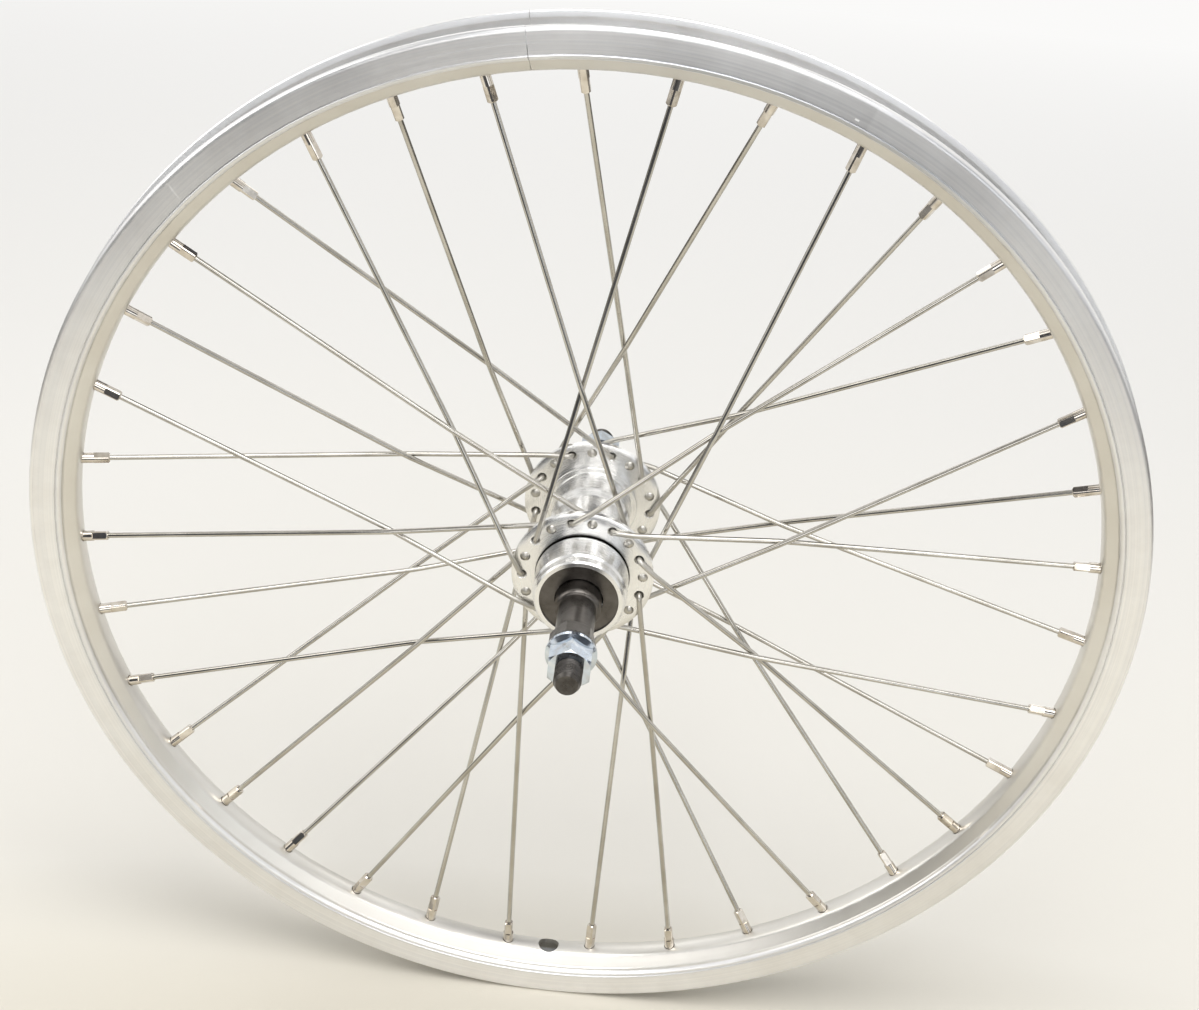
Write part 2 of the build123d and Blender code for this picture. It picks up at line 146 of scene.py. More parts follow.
# Colours of the metals, from the darker to the lighter tone of each
TRACK_TONES = ((0.885, 0.878, 0.870), (0.920, 0.913, 0.903), (0.945, 0.940, 0.930))
BODY_TONES = ((0.71, 0.690, 0.645), (0.75, 0.733, 0.690), (0.79, 0.775, 0.735))
HUB_TONES = ((0.79, 0.785, 0.77), (0.87, 0.865, 0.85))
SPOKE_TONES = ((0.42, 0.40, 0.355), (0.51, 0.49, 0.445), (0.58, 0.56, 0.515))
NICKEL_TONES = ((0.52, 0.47, 0.40), (0.65, 0.60, 0.53), (0.75, 0.71, 0.65))
DARK_TONES = ((0.085, 0.077, 0.068), (0.120, 0.110, 0.100), (0.150, 0.140, 0.129))
RUBBED_TONES = ((0.15, 0.14, 0.128), (0.21, 0.197, 0.182), (0.27, 0.255, 0.24))
ZINC_TONES = ((0.55, 0.57, 0.60), (0.60, 0.67, 0.75), (0.72, 0.76, 0.80))
AXLE_TONES = ((0.060, 0.055, 0.050), (0.090, 0.084, 0.078), (0.125, 0.117, 0.108))
BEARING_TONES = ((0.46, 0.44, 0.41), (0.60, 0.59, 0.57))

# Colours of dirt and wear, of painted reflections and painted shade, and of the darker washer teeth
STREAK_GREY = (0.60, 0.62, 0.66)
SCUFF_WHITE = (0.97, 0.97, 0.97)
GRIME_GREY = (0.56, 0.58, 0.62)
STAIN_BROWN = (0.60, 0.555, 0.51)
# Grey of the painted dark reflection on the track
DARK_REFLECTION_GREY = (0.40, 0.415, 0.44)
RUB_GREY = (0.45, 0.45, 0.46)
BARE_WHITE = (1.0, 1.0, 1.0)
# Pale blue-white that paints the bright reflection in the tyre channel
CHANNEL_REFLECTION_BLUE = (0.95, 0.965, 0.99)
# Painted shade for the groove at the root of the boss
GROOVE_SHADE = (0.06, 0.055, 0.05)
# Darker tone for the teeth of the washers
TEETH_DARK = (0.075, 0.070, 0.064)

# Colours of the studio
FLOOR_TONES = ((0.800, 0.755, 0.650), (0.830, 0.800, 0.735), (0.850, 0.830, 0.790))
# Brown of the stain and painted shadow under the wheel
STAIN_AND_SHADE_BROWN = (0.56, 0.51, 0.40)
BACKDROP = (0.96, 0.955, 0.945, 1.0)
ROOM_LIGHT = (0.96, 0.98, 1.0, 1.0)
ROOM_STRENGTH = 0.45
FRONT_DARK = (0.05, 0.052, 0.058)
FRONT_PALE = (0.72, 0.71, 0.69)
ROOM_BLUE = (0.13, 0.14, 0.165)
SIDE_BROWN = (0.12, 0.11, 0.10)
BACK_GREY = (0.60, 0.59, 0.57)
GAP_BLACK = (0.04, 0.04, 0.05)
OVER_BLACK = (0.06, 0.06, 0.07)
KEY_LIGHT = (0.99, 0.99, 1.0)
FRONT_LIGHT = (1.0, 0.99, 0.98)
SIDE_LIGHT = (1.0, 0.98, 0.95)
COOL_LIGHT = (0.93, 0.96, 1.0)
WHITE_LIGHT = (1.0, 1.0, 1.0)

# Roughness that wear, the channel, the darker washer teeth and forging add
BARE_ROUGHER = 0.25
CHANNEL_ROUGHER = 0.30
FORGED_ROUGHER = 0.22
TEETH_ROUGHER = 0.25

# Shader settings: the range that holds nearly all of a noise, the colour sockets of a mix, the grain's turn
NOISE_LOW = 0.3
NOISE_HIGH = 0.7
MIX_UNDER = 6
MIX_OVER = 7
MIX_RESULT = 2
QUARTER_TURN = 0.25


# Materials

class Shade:
    """A surface built up node by node; every length is at the object's own scale."""

    def __init__(self, name):
        self.material = bpy.data.materials.new(name)
        self.material.use_nodes = True
        self.tree = self.material.node_tree
        self.surface = self.tree.nodes["Principled BSDF"]
        self.place = self.node("ShaderNodeTexCoord").outputs["Object"]

    def node(self, kind, **settings):
        """New node with its settings."""
        made = self.tree.nodes.new(kind)
        for key, value in settings.items():
            setattr(made, key, value)
        return made

    def feed(self, socket, value):
        """Links another node's output to a socket, or sets the socket's own value; colours are opaque."""
        if hasattr(value, "is_output"):
            self.tree.links.new(value, socket)
        elif socket.type == "RGBA":
            socket.default_value = (*value, 1.0)
        else:
            socket.default_value = value

    def math(self, operation, first, second=0.0):
        """Result of an operation on one or two numbers."""
        made = self.node("ShaderNodeMath", operation=operation)
        self.feed(made.inputs[0], first)
        self.feed(made.inputs[1], second)
        return made.outputs[0]

    def times(self, first, *others):
        """Product of all the values."""
        for other in others:
            first = self.math("MULTIPLY", first, other)
        return first

    def added(self, first, *others):
        """Sum of all the values."""
        for other in others:
            first = self.math("ADD", first, other)
        return first

    def vector(self, operation, first, second=(0.0, 0.0, 0.0)):
        """Result of an operation on one or two vectors; a length or a dot product is a number."""
        made = self.node("ShaderNodeVectorMath", operation=operation)
        self.feed(made.inputs[0], first)
        self.feed(made.inputs[1], second)
        return made.outputs["Value" if operation in ("LENGTH", "DOT_PRODUCT") else "Vector"]

    def along(self, axis):
        """Place along one axis."""
        parts = self.node("ShaderNodeSeparateXYZ")
        self.feed(parts.inputs[0], self.place)
        return parts.outputs[axis]

    def radius(self):
        """Distance from the axle's own line."""
        return self.vector("LENGTH", self.vector("MULTIPLY", self.place, (1.0, 0.0, 1.0)))

    def noise(self, scale, detail=3.0, roughness=0.5):
        """Cloudy noise over the surface."""
        made = self.node("ShaderNodeTexNoise")
        self.feed(made.inputs["Vector"], self.place)
        made.inputs["Scale"].default_value = scale
        made.inputs["Detail"].default_value = detail
        made.inputs["Roughness"].default_value = roughness
        return made.outputs["Fac"]

    def turned(self, fineness, drift):
        """Fine lines that run round the axle, each one changing slowly along its way."""
        course = self.node("ShaderNodeCombineXYZ")
        self.feed(course.inputs[0], self.times(self.along(X), drift))
        self.feed(course.inputs[1], self.times(self.along(Z), drift))
        self.feed(course.inputs[2], self.times(self.radius(), fineness))
        lines = self.node("ShaderNodeTexNoise", noise_dimensions="4D")
        self.feed(lines.inputs["Vector"], course.outputs[0])
        self.feed(lines.inputs["W"], self.times(self.along(Y), fineness))
        lines.inputs["Scale"].default_value = 1.0
        lines.inputs["Detail"].default_value = 2.0
        return lines.outputs["Fac"]

    def ramp(self, value, start, end, low=0.0, high=1.0):
        """From low where the value is at its start to high at its end."""
        made = self.node("ShaderNodeMapRange")
        self.feed(made.inputs["Value"], value)
        made.inputs["From Min"].default_value = start
        made.inputs["From Max"].default_value = end
        made.inputs["To Min"].default_value = low
        made.inputs["To Max"].default_value = high
        return made.outputs[0]

    def band(self, value, low, high, edge):
        """One between two values, nought an edge outside them."""
        return self.times(self.ramp(value, low - edge, low), self.ramp(value, high + edge, high))

    def span(self, noise, low, high):
        """Stretches the middle of a noise over a range."""
        return self.ramp(noise, NOISE_LOW, NOISE_HIGH, low, high)

    def colours(self, noise, tones):
        """Colour ramp over a noise, the tones spread over its middle part."""
        made = self.node("ShaderNodeValToRGB")
        self.feed(made.inputs[0], noise)
        stops = made.color_ramp.elements
        while len(stops) < len(tones):
            stops.new(0.5)
        for index, (stop, tone) in enumerate(zip(stops, tones)):
            stop.position = NOISE_LOW + (NOISE_HIGH - NOISE_LOW) * index / (len(tones) - 1)
            stop.color = (*tone, 1.0)
        return made.outputs[0]

    def laid(self, under, over, where, share=None):
        """One colour laid over another by a mask, or by a share of it."""
        made = self.node("ShaderNodeMix", data_type="RGBA")
        self.feed(made.inputs["Factor"], where if share is None else self.times(where, share))
        self.feed(made.inputs[MIX_UNDER], under)
        self.feed(made.inputs[MIX_OVER], over)
        return made.outputs[MIX_RESULT]

    def mark(self, place, half_size, edge):
        """One near a place, fading over the edge to nought at half_size from it."""
        away = self.vector("SUBTRACT", self.place, place)
        reach = self.vector("LENGTH", self.vector("DIVIDE", away, half_size))
        return self.ramp(reach, 1.0, 1.0 - edge)

    def stroke(self, place, way, half_length, half_width, edge):
        """One on a short straight mark seen along the axle; place and way are x and z."""
        away = self.vector("SUBTRACT", self.place, (place[0], 0.0, place[1]))
        lengthwise = self.math("ABSOLUTE", self.vector("DOT_PRODUCT", away, (way[0], 0.0, way[1])))
        crosswise = self.math("ABSOLUTE", self.vector("DOT_PRODUCT", away, (way[1], 0.0, -way[0])))
        return self.times(
            self.ramp(lengthwise, half_length, half_length * (1.0 - edge)),
            self.ramp(crosswise, half_width, half_width * (1.0 - edge)),
        )

    def bump(self, height, depth):
        """Fine relief of the surface."""
        made = self.node("ShaderNodeBump")
        made.inputs["Strength"].default_value = 1.0
        made.inputs["Distance"].default_value = depth
        self.feed(made.inputs["Height"], height)
        return made.outputs[0]

    def finish(self, colour, roughness, metallic=1.0, normal=None, anisotropic=0.0, coat=0.0):
        """The finished material; an anisotropic gloss takes its grain from the turn round the axle."""
        sockets = self.surface.inputs
        self.feed(sockets["Base Color"], colour)
        self.feed(sockets["Roughness"], roughness)
        self.feed(sockets["Metallic"], metallic)
        if normal is not None:
            self.feed(sockets["Normal"], normal)
        if anisotropic:
            sockets["Anisotropic"].default_value = anisotropic
            sockets["Anisotropic Rotation"].default_value = QUARTER_TURN
            grain = self.node("ShaderNodeTangent", direction_type="RADIAL", axis="Y")
            self.feed(sockets["Tangent"], grain.outputs[0])
        sockets["Coat Weight"].default_value = coat
        return self.material


def track_colour(shade, smudge, drawn):
    """Bare braking track: drawn streaks, pale scuffs and a line of grime near its inner edge."""
    scuff = shade.noise(scale=140.0, detail=5.0, roughness=0.7)
    grime = shade.band(shade.radius(), GRIME_FROM, GRIME_TO, GRIME_FADE)
    colour = shade.colours(smudge, TRACK_TONES)
    colour = shade.laid(colour, STREAK_GREY, where=shade.span(drawn, low=0.0, high=0.34))
    colour = shade.laid(colour, SCUFF_WHITE, where=shade.span(scuff, low=-0.05, high=0.22))
    return shade.laid(colour, GRIME_GREY, where=grime, share=0.22)


def painted_reflection_arc(shade, drawn):
    """Painted dark reflection at the upper right, stronger towards the track's inner edge and along its
    streaks.
    """
    across = shade.band(shade.along(X), *DARK_REFLECTION_X, edge=DARK_REFLECTION_X_FADE)
    above = shade.ramp(shade.along(Z), *DARK_REFLECTION_Z)
    depth = shade.ramp(shade.radius(), DARK_REFLECTION_LEAST_AT, DARK_REFLECTION_MOST_AT, low=0.26, high=0.68)
    return shade.times(across, above, depth, shade.span(drawn, low=0.75, high=1.2))


def rim_metal():
    """Rolled aluminium: bare track, warmer body, channel with a painted bright reflection, stains, marks of
    use, a painted dark reflection.
    """
    shade = Shade("rim_metal")
    lines = shade.turned(fineness=3200.0, drift=9.0)
    drawn = shade.turned(fineness=1500.0, drift=3.0)
    smudge = shade.noise(scale=28.0, detail=4.0)
    stain = shade.noise(scale=75.0, detail=5.0, roughness=0.65)
    on_track = shade.ramp(shade.radius(), TRACK_EDGE - TRACK_FADE, TRACK_EDGE)
    near_side = shade.ramp(shade.along(Y), NEAR_FACE_FROM, NEAR_FACE_FULL)
    channel = shade.times(
        shade.band(shade.along(Y), -CHANNEL_HALF_WIDTH, CHANNEL_HALF_WIDTH, CHANNEL_FADE),
        shade.ramp(shade.radius(), CHANNEL_FROM, CHANNEL_FULL),
    )
    dark_reflection = shade.times(painted_reflection_arc(shade, drawn), near_side, on_track)
    rub = shade.stroke(RUB_PLACE, RUB_WAY, *RUB_HALVES, edge=0.1)
    rub = shade.times(rub, shade.ramp(shade.along(X), *RUB_X), near_side)
    scratch = shade.stroke(SCRATCH_PLACE, SCRATCH_WAY, *SCRATCH_HALVES, edge=0.6)
    nick = shade.stroke(NICK_PLACE, NICK_WAY, *NICK_HALVES, edge=0.4)
    bare = shade.times(shade.math("MAXIMUM", scratch, nick), near_side)
    colour = shade.colours(smudge, BODY_TONES)
    colour = shade.laid(colour, track_colour(shade, smudge, drawn), where=on_track)
    colour = shade.laid(colour, STAIN_BROWN, where=shade.span(stain, low=0.13, high=-0.05))
    # Painted dark reflection on the track at the upper right
    colour = shade.laid(colour, DARK_REFLECTION_GREY, where=dark_reflection)
    colour = shade.laid(colour, RUB_GREY, where=rub, share=0.25)
    colour = shade.laid(colour, BARE_WHITE, where=bare, share=0.8)
    # Painted bright reflection: the tyre channel is coloured pale blue-white and made less metallic
    colour = shade.laid(colour, CHANNEL_REFLECTION_BLUE, where=channel)
    rough = shade.added(
        shade.span(lines, low=0.31, high=0.39),
        shade.span(smudge, low=-0.03, high=0.04),
        shade.times(bare, BARE_ROUGHER),
        shade.times(channel, CHANNEL_ROUGHER),
    )
    metallic = shade.ramp(channel, start=0.0, end=1.0, low=1.0, high=0.25)
    relief = shade.bump(lines, depth=0.004 * MM)
    return shade.finish(colour, rough, metallic=metallic, normal=relief, anisotropic=0.6)


def hub_metal():
    """Turned and polished aluminium, with painted shade in the groove at the root of the boss."""
    shade = Shade("hub_metal")
    lines = shade.turned(fineness=5200.0, drift=40.0)
    cloud = shade.noise(scale=110.0, detail=4.0)
    groove = shade.times(
        shade.band(shade.radius(), *GROOVE_RADII, edge=GROOVE_RADII_FADE),
        shade.band(shade.along(Y), *GROOVE_Y, edge=GROOVE_Y_FADE),
    )
    # Painted shade in the groove at the root of the boss
    colour = shade.laid(shade.colours(cloud, HUB_TONES), GROOVE_SHADE, where=groove)
    rough = shade.added(shade.span(lines, low=0.20, high=0.28), shade.span(cloud, low=-0.02, high=0.04))
    relief = shade.bump(lines, depth=0.003 * MM)
    return shade.finish(colour, rough, normal=relief, anisotropic=0.8)


def spoke_metal():
    """Drawn stainless wire, warm grey, varying a little along its length; the heads are dull."""
    shade = Shade("spoke_metal")
    patch = shade.noise(scale=60.0, detail=4.0)
    fine = shade.noise(scale=2600.0, detail=2.0)
    forged = shade.ramp(shade.radius(), FORGED_FROM, FORGED_FULL)
    rough = shade.added(
        shade.span(patch, low=0.09, high=0.15),
        shade.span(fine, low=-0.02, high=0.02),
        shade.times(forged, FORGED_ROUGHER),
    )
    relief = shade.bump(fine, depth=0.006 * MM)
    return shade.finish(shade.colours(patch, SPOKE_TONES), rough, normal=relief)


def nickel_metal():
    """Nickel plate, bright, with faint dulling."""
    shade = Shade("nickel_metal")
    patch = shade.noise(scale=240.0, detail=4.0)
    rough = shade.span(patch, low=0.17, high=0.07)
    relief = shade.bump(shade.noise(scale=700.0), depth=0.004 * MM)
    return shade.finish(shade.colours(patch, NICKEL_TONES), rough, normal=relief)


def dark_metal(name, tones):
    """Dark phosphated steel, dry and slightly mottled."""
    shade = Shade(name)
    patch = shade.noise(scale=180.0, detail=5.0)
    grain = shade.noise(scale=5200.0, detail=2.0)
    rough = shade.added(shade.span(patch, low=0.26, high=0.36), shade.span(grain, low=-0.04, high=0.04))
    relief = shade.bump(grain, depth=0.006 * MM)
    return shade.finish(shade.colours(patch, tones), rough, normal=relief)


def zinc_metal():
    """Blue-bright zinc plate, a little cloudy, darker on the teeth of the washers."""
    shade = Shade("zinc_metal")
    patch = shade.noise(scale=260.0, detail=4.0)
    teeth = shade.band(shade.math("ABSOLUTE", shade.along(Y)), *TEETH_Y, edge=TEETH_FADE)
    # The teeth of the washers are darker and rougher
    colour = shade.laid(shade.colours(patch, ZINC_TONES), TEETH_DARK, where=teeth, share=0.9)
    rough = shade.added(shade.span(patch, low=0.09, high=0.18), shade.times(teeth, TEETH_ROUGHER))
    relief = shade.bump(shade.noise(scale=900.0), depth=0.006 * MM)
    return shade.finish(colour, rough, normal=relief)


def axle_metal():
    """Black oxide on the thread, worn a little lighter in places."""
    shade = Shade("axle_metal")
    patch = shade.noise(scale=320.0, detail=4.0)
    rough = shade.span(patch, low=0.24, high=0.36)
    relief = shade.bump(shade.noise(scale=4200.0), depth=0.006 * MM)
    return shade.finish(shade.colours(patch, AXLE_TONES), rough, normal=relief)


def bearing_metal():
    """Ground bearing steel under a film of grease."""
    shade = Shade("bearing_metal")
    patch = shade.noise(scale=300.0)
    rough = shade.span(patch, low=0.12, high=0.24)
    relief = shade.bump(shade.noise(scale=2600.0), depth=0.006 * MM)
    return shade.finish(shade.colours(patch, BEARING_TONES), rough, normal=relief, coat=0.3)


def dress(material, *names):
    """Puts a material on pieces of the wheel."""
    for name in names:
        for slot in nodes[name].material_slots:
            slot.material = material


def each_side(*pieces):
    """Names of pieces that both sides of the hub have."""
    return [f"{side}_{piece}" for side in SIDES for piece in pieces]


dress(spoke_metal(), *[name for name in nodes if name.startswith("spoke_")])
dress(nickel_metal(), "nipples")
dress(dark_metal("dark_metal", DARK_TONES), *each_side("dust_cap", "cone", "spacer"))
dress(dark_metal("rubbed_metal", RUBBED_TONES), *each_side("lock_nut"))
dress(zinc_metal(), *each_side("axle_washer", "axle_nut"))
black_oxide = axle_metal()
dress(black_oxide, "axle")
dress(bearing_metal(), "rim_joint_pins", *each_side("bearing_cup", "balls"))


def add_object(name, mesh, material):
    """New object of one material."""
    mesh.materials.clear()
    mesh.materials.append(material)
    made = bpy.data.objects.new(name, mesh)
    scene.collection.objects.link(made)
    return made


# Rim and hub in their own form, shaded evenly all the way round

def read(items, field, kind, width):
    """One field of all the items of a mesh, a row for each item."""
    values = np.empty(len(items) * width, kind)
    items.foreach_get(field, values)
    return values.reshape(-1, width) if width > 1 else values


def even_normals(mesh):
    """Corner normals of a turned form: one slope for each place of its section, round the whole turn."""
    points = read(mesh.vertices, "co", np.float64, 3)
    slopes = read(mesh.polygons, "normal", np.float64, 3)
    centres = read(mesh.polygons, "center", np.float64, 3)
    areas = read(mesh.polygons, "area", np.float64, 1)
    corner_point = read(mesh.loops, "vertex_index", np.int64, 1)
    corner_face = np.repeat(np.arange(len(areas)), read(mesh.polygons, "loop_total", np.int64, 1))

    # Slope of each face within the section, as outward and along the axle
    face_turn = np.arctan2(centres[:, X], centres[:, Z])
    outward = slopes[:, X] * np.sin(face_turn) + slopes[:, Z] * np.cos(face_turn)
    sideways = slopes[:, X] * np.cos(face_turn) - slopes[:, Z] * np.sin(face_turn)
    is_turned = np.abs(sideways) < TURNED_LIMIT
    flat = np.stack([outward, slopes[:, Y]], axis=1)
    flat /= np.maximum(np.linalg.norm(flat, axis=1, keepdims=True), TINY)

    # Corners of turned faces, sorted by their place in the section
    section = np.stack([np.hypot(points[:, X], points[:, Z]), points[:, Y]], axis=1)
    spots, spot = np.unique(np.round(section / SECTION_STEP), axis=0, return_inverse=True)
    corner_spot = spot.ravel()[corner_point]
    corners = np.flatnonzero(is_turned[corner_face])
    corners = corners[np.argsort(corner_spot[corners], kind="stable")]
    bounds = np.searchsorted(corner_spot[corners], np.arange(len(spots) + 1))
    tree = KDTree(len(spots))
    for index, (radius, y) in enumerate(spots * SECTION_STEP):
        tree.insert((radius, y, 0.0), index)
    tree.balance()

    # Mean slope of the faces near each place that lean the same way
    normals = slopes[corner_face].copy()
    for index, (radius, y) in enumerate(spots * SECTION_STEP):
        own = corners[bounds[index]:bounds[index + 1]]
        if not len(own):
            continue
        found = [hit[1] for hit in tree.find_range((radius, y, 0.0), SECTION_REACH)]
        faces = corner_face[np.concatenate([corners[bounds[i]:bounds[i + 1]] for i in found])]
        ways = flat[faces]
        sizes = areas[faces]
        own_ways = flat[corner_face[own]]
        steps = np.round(np.degrees(np.arctan2(own_ways[:, 1], own_ways[:, 0])) / SLOPE_STEP)
        for step in np.unique(steps):
            same = own[steps == step]
            near = ways @ own_ways[steps == step][0] > SAME_SLOPE
            mean = (ways[near] * sizes[near, None]).sum(axis=0)
            mean /= np.linalg.norm(mean)
            turn = np.arctan2(points[corner_point[same], X], points[corner_point[same], Z])
            normals[same] = np.stack(
                [mean[0] * np.sin(turn), np.full(len(turn), mean[1]), mean[0] * np.cos(turn)], axis=1
            )
    mesh.normals_split_custom_set(normals.tolist())


def turned_copy(name, material):
    """A turned piece in its own form, with even shading."""
    source = nodes[name]
    mesh = source.data.copy()
    even_normals(mesh)
    piece = add_object(f"turned_{name}", mesh, material)
    piece.matrix_world = source.matrix_world.copy()
    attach(piece, "wheel")
    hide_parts(name)


def lip_outline(radius, half_width):
    """Section of a lip as radius and half width: rounded outside, level top, chamfered channel side."""
    bends = [math.radians(90.0 * bend / LIP_BENDS) for bend in range(LIP_BENDS + 1)]
    outline = [
        (radius - LIP_ROUND * (1.0 - math.sin(bend)), half_width - LIP_ROUND * (1.0 - math.cos(bend)))
        for bend in bends
    ]
    outline.append((radius, half_width - LIP_WIDTH + LIP_CHAMFER))
    outline.append((radius - LIP_CHAMFER, half_width - LIP_WIDTH))
    return outline


def rim_lips(material):
    """The rounded lips of the rim in fine steps, from one face of the butt joint to the other."""
    radius, half_width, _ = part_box("rim")[1]
    outline = lip_outline(radius, half_width)
    width = len(outline)
    open_turn = SEAM_GAP / radius
    first_turn = math.radians(SEAM_ANGLE) + open_turn / 2.0
    turns = [first_turn + (math.tau - open_turn) * step / LIP_STEPS for step in range(LIP_STEPS + 1)]
    points = []
    faces = []
    for side in (-1, 1):
        start = len(points)
        for turn in turns:
            points += [(r * math.sin(turn), side * y, r * math.cos(turn)) for r, y in outline]
        for step in range(LIP_STEPS):
            for bend in range(width - 1):
                low = start + step * width + bend
                faces.append((low, low + width, low + width + 1, low + 1)[::-side])
    mesh = bpy.data.meshes.new("rim_lips")
    mesh.from_pydata(points, [], faces)
    mesh.shade_smooth()
    mesh.set_sharp_from_angle(angle=math.radians(LIP_SHARP_ANGLE))
    piece = add_object("rim_lips", mesh, material)
    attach(piece, "wheel")


rolled = rim_metal()
turned_copy("rim", rolled)
rim_lips(rolled)
turned_copy("hub_shell", hub_metal())


# Axle with its fine thread, which the solid leaves plain

def thread_radius(y, turn, length, radius):
    """Radius at a place along the axle and round it: thread, run-out and tapered end."""
    along = abs(y)
    depth = THREAD_DEPTH * min(1.0, max(0.0, (along - THREAD_FROM) / THREAD_PITCH))
    phase = (y / THREAD_PITCH - turn / math.tau) % 1.0
    ridge = 1.0 - abs(2.0 * phase - 1.0)
    height = min(1.0, max(0.0, (ridge - THREAD_ROOT) / THREAD_FLANK))
    envelope = radius - AXLE_CHAMFER * max(0.0, 1.0 - (length - along) / AXLE_TAPER)
    return min(radius - depth * (1.0 - height), envelope)


def threaded_axle(material):
    """The whole axle: threaded towards both ends, plain between them and closed by flat faces."""
    radius, length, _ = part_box("axle")[1]
    rows = round((length - THREAD_FROM) / THREAD_STEP)
    outer = [THREAD_FROM + (length - THREAD_FROM) * row / rows for row in range(rows + 1)]
    along = [-y for y in reversed(outer)] + outer
    turns = [math.tau * column / AXLE_COLUMNS for column in range(AXLE_COLUMNS)]
    points = []
    for y in along:
        for turn in turns:
            r = thread_radius(y, turn, length, radius)
            points.append((r * math.sin(turn), y, r * math.cos(turn)))
    faces = []
    for row in range(len(along) - 1):
        for column in range(AXLE_COLUMNS):
            start = row * AXLE_COLUMNS + column
            after = row * AXLE_COLUMNS + (column + 1) % AXLE_COLUMNS
            faces.append((start, after, after + AXLE_COLUMNS, start + AXLE_COLUMNS))
    sides = len(faces)
    for first, order in ((0, -1), (len(points) - AXLE_COLUMNS, 1)):
        faces.append([len(points) + column for column in range(AXLE_COLUMNS)][::order])
        points += points[first:first + AXLE_COLUMNS]
    mesh = bpy.data.meshes.new("threaded_axle")
    mesh.from_pydata(points, [], faces)
    for face in mesh.polygons:
        face.use_smooth = face.index < sides
    piece = add_object("threaded_axle", mesh, material)
    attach(piece, "axle_set")
    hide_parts("axle")


threaded_axle(black_oxide)


# Floor

def level(x, y, z):
    """Corners of a level sheet; x and y are ranges."""
    return [(x[0], y[0], z), (x[1], y[0], z), (x[1], y[1], z), (x[0], y[1], z)]


def upright(x, y, z):
    """Corners of a sheet that stands across the axle's line; x and z are ranges."""
    return [(x[0], y, z[0]), (x[1], y, z[0]), (x[1], y, z[1]), (x[0], y, z[1])]


def add_sheet(name, corners, material):
    """Flat sheet of the studio."""
    mesh = bpy.data.meshes.new(name)
    mesh.from_pydata(corners, [], [(0, 1, 2, 3)])
    sheet = add_object(name, mesh, material)
    return sheet


def shows_backdrop(tree):
    """One for rays from the camera, off a gloss or through glass, which show the backdrop itself."""
    path = tree.nodes.new("ShaderNodeLightPath")
    seen = path.outputs["Is Camera Ray"]
    for ray in ("Is Glossy Ray", "Is Transmission Ray"):
        either = tree.nodes.new("ShaderNodeMath")
        either.operation = "MAXIMUM"
        tree.links.new(seen, either.inputs[0])
        tree.links.new(path.outputs[ray], either.inputs[1])
        seen = either.outputs[0]
    return seen


def floor_paper():
    """Pale warm studio paper, with a stain and a painted shadow where the wheel stands; far off it passes
    into the backdrop.
    """
    shade = Shade("floor_paper")
    patch = shade.noise(scale=1.6, detail=4.0)
    fibre = shade.noise(scale=900.0, detail=2.0)
    paleness = shade.span(patch, low=0.38, high=0.46)
    paleness = shade.added(shade.times(shade.along(Y), FLOOR_PALING), paleness)
    # Stain with a painted shadow where the wheel stands
    stain_and_shade = shade.times(
        shade.mark(STAIN_AND_SHADE_PLACE, STAIN_AND_SHADE_HALF_SIZE, edge=0.9),
        shade.span(patch, low=0.6, high=1.0),
    )
    colour = shade.laid(shade.colours(paleness, FLOOR_TONES), STAIN_AND_SHADE_BROWN, where=stain_and_shade)
    relief = shade.bump(fibre, depth=0.03 * MM)
    shade.finish(colour, roughness=0.85, metallic=0.0, normal=relief)
    far_off = shade.math(
        "MAXIMUM",
        shade.ramp(shade.along(Y), *FAR_BACK),
        shade.ramp(shade.vector("LENGTH", shade.place), *FAR_ROUND),
    )
    white = shade.node("ShaderNodeEmission")
    white.inputs["Color"].default_value = BACKDROP
    blend = shade.node("ShaderNodeMixShader")
    shade.feed(blend.inputs[0], shade.times(shows_backdrop(shade.tree), far_off))
    shade.feed(blend.inputs[1], shade.surface.outputs[0])
    shade.feed(blend.inputs[2], white.outputs[0])
    shade.feed(shade.tree.nodes["Material Output"].inputs["Surface"], blend.outputs[0])
    return shade.material


floor_range = (-FLOOR_HALF, FLOOR_HALF)
add_sheet("floor", level(x=floor_range, y=floor_range, z=FLOOR_HEIGHT), floor_paper())


# Light

def soft_light(name, place, size, power, colour, aim=(0, 0, 0)):
    """Soft lamp, unseen by the camera itself; its size is a width and a height."""
    lamp = bpy.data.lights.new(name, "AREA")
    lamp.shape = "RECTANGLE"
    lamp.size, lamp.size_y = size
    lamp.energy = power
    lamp.color = colour
    holder = bpy.data.objects.new(name, lamp)
    holder.location = place
    holder.rotation_euler = (Vector(aim) - Vector(place)).to_track_quat("-Z", "Y").to_euler()
    holder.visible_camera = False
    scene.collection.objects.link(holder)


soft_light("key", place=(0.3, -0.8, 2.05), size=(2.0, 1.6), power=38.0, colour=KEY_LIGHT, aim=(0, 0.2, 0))
soft_light("front", place=(0, -2.4, 0.75), size=(2.4, 0.9), power=17.0, colour=FRONT_LIGHT, aim=(0, 0, -0.1))
soft_light("side", place=(-1.6, -0.3, 1.0), size=(0.8, 1.2), power=7.0, colour=SIDE_LIGHT)
soft_light("front_right", place=(1.1, -1.8, 0.25), size=(0.9, 0.7), power=3.0, colour=COOL_LIGHT)
soft_light("window_left", place=(-0.27, 0.88, 0.46), size=(0.30, 0.40), power=0.55, colour=WHITE_LIGHT)
soft_light("window_right", place=(0.40, 0.88, 0.40), size=(0.18, 0.40), power=0.33, colour=WHITE_LIGHT)


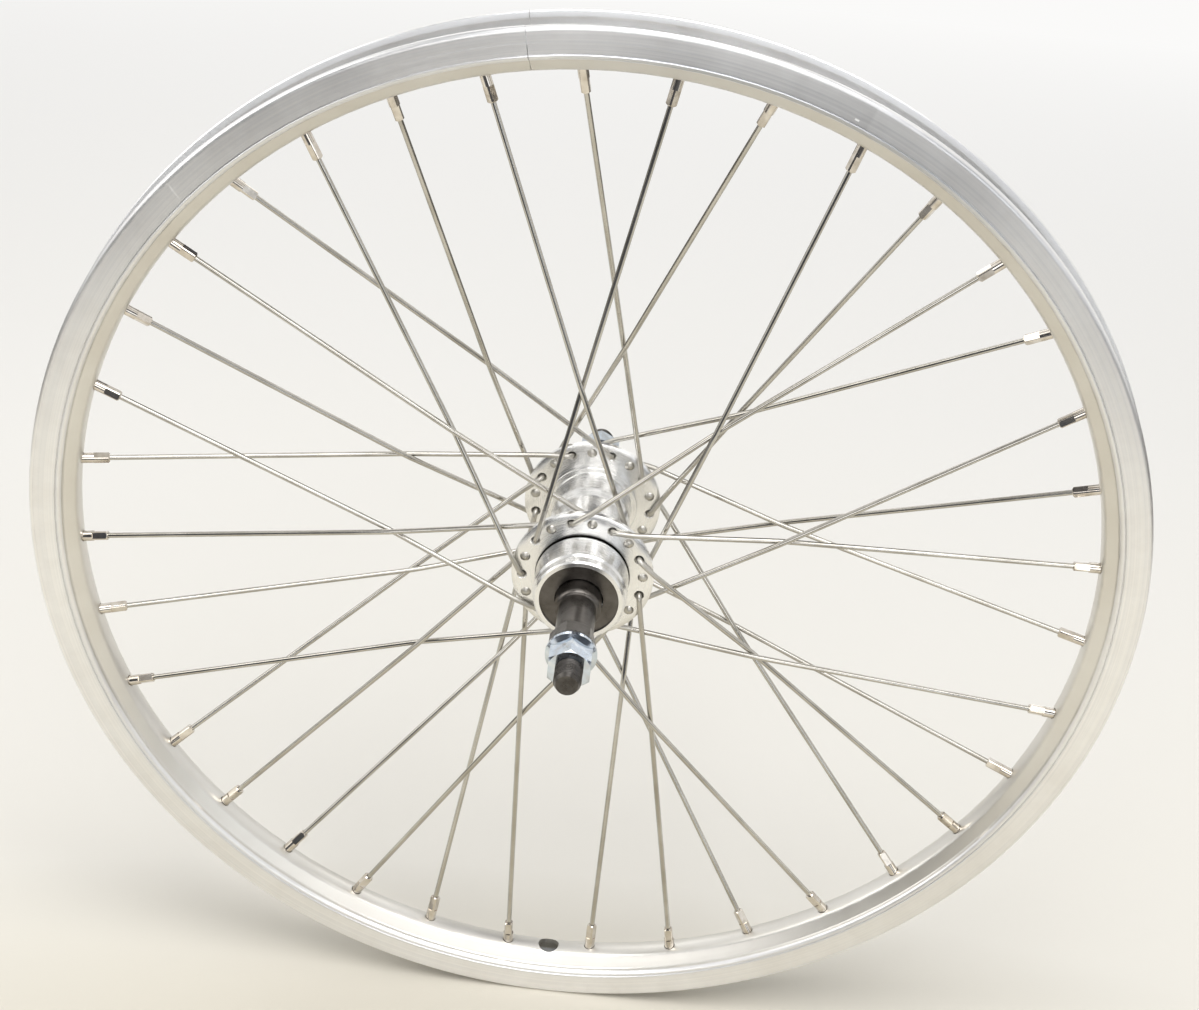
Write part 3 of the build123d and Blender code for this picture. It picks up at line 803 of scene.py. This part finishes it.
def flag(name, corners, colour, near=None):
    """Card that only reflections see; with a second colour, a level card is lighter near the wheel."""
    shade = Shade(name)
    paint = colour
    if near:
        paint = shade.laid(colour, near, where=shade.ramp(shade.along(Y), CARD_FADE_FROM, CARD_FRONT))
    card = add_sheet(name, corners, shade.finish(paint, roughness=0.9, metallic=0.0))
    for ray in ("camera", "diffuse", "transmission", "volume_scatter", "shadow"):
        setattr(card, f"visible_{ray}", False)


flag("flag_front", level(x=(-6, 6), y=(-6, CARD_FRONT), z=CARD_LEVEL), FRONT_DARK, near=FRONT_PALE)
flag("flag_room", upright(x=(-4, 4), y=-3, z=(CARD_LEVEL, 3.5)), ROOM_BLUE)
flag("flag_right", level(x=(CARD_SIDE, 3), y=(CARD_FRONT, 3), z=CARD_LEVEL), SIDE_BROWN)
flag("flag_left", level(x=(-3, -CARD_SIDE), y=(CARD_FRONT, 3), z=CARD_LEVEL), SIDE_BROWN)
flag("flag_back", upright(x=(-0.4, 0.45), y=0.9, z=(CARD_LEVEL, 1.3)), BACK_GREY)
flag("flag_gap", upright(x=(-0.10, 0.30), y=0.89, z=(0.42, 1.3)), GAP_BLACK)
flag("flag_over_left", level(x=(-0.9, -0.4), y=OVER_Y, z=CARD_OVER), OVER_BLACK)
flag("flag_over_right", level(x=(0.5, 1.0), y=OVER_Y, z=CARD_OVER), OVER_BLACK)


def studio_world():
    """Even light from all round, and the pale backdrop where the background itself is seen."""
    world = bpy.data.worlds.new("studio")
    world.use_nodes = True
    tree = world.node_tree
    ambient = tree.nodes["Background"]
    ambient.inputs["Color"].default_value = ROOM_LIGHT
    ambient.inputs["Strength"].default_value = ROOM_STRENGTH
    backdrop = tree.nodes.new("ShaderNodeBackground")
    backdrop.inputs["Color"].default_value = BACKDROP
    backdrop.inputs["Strength"].default_value = 1.0
    chooser = tree.nodes.new("ShaderNodeMixShader")
    tree.links.new(shows_backdrop(tree), chooser.inputs[0])
    tree.links.new(ambient.outputs[0], chooser.inputs[1])
    tree.links.new(backdrop.outputs[0], chooser.inputs[2])
    tree.links.new(chooser.outputs[0], tree.nodes["World Output"].inputs["Surface"])
    return world


scene.world = studio_world()


# Camera

lens = bpy.data.cameras.new("camera")
lens.sensor_fit = "HORIZONTAL"
lens.sensor_width = CAMERA_SENSOR
lens.lens = CAMERA_LENS
camera = bpy.data.objects.new("camera", lens)
camera.location = CAMERA_PLACE
camera.rotation_euler = [math.radians(turn) for turn in CAMERA_TURN]
scene.collection.objects.link(camera)
scene.camera = camera
scene.view_settings.view_transform = "Standard"
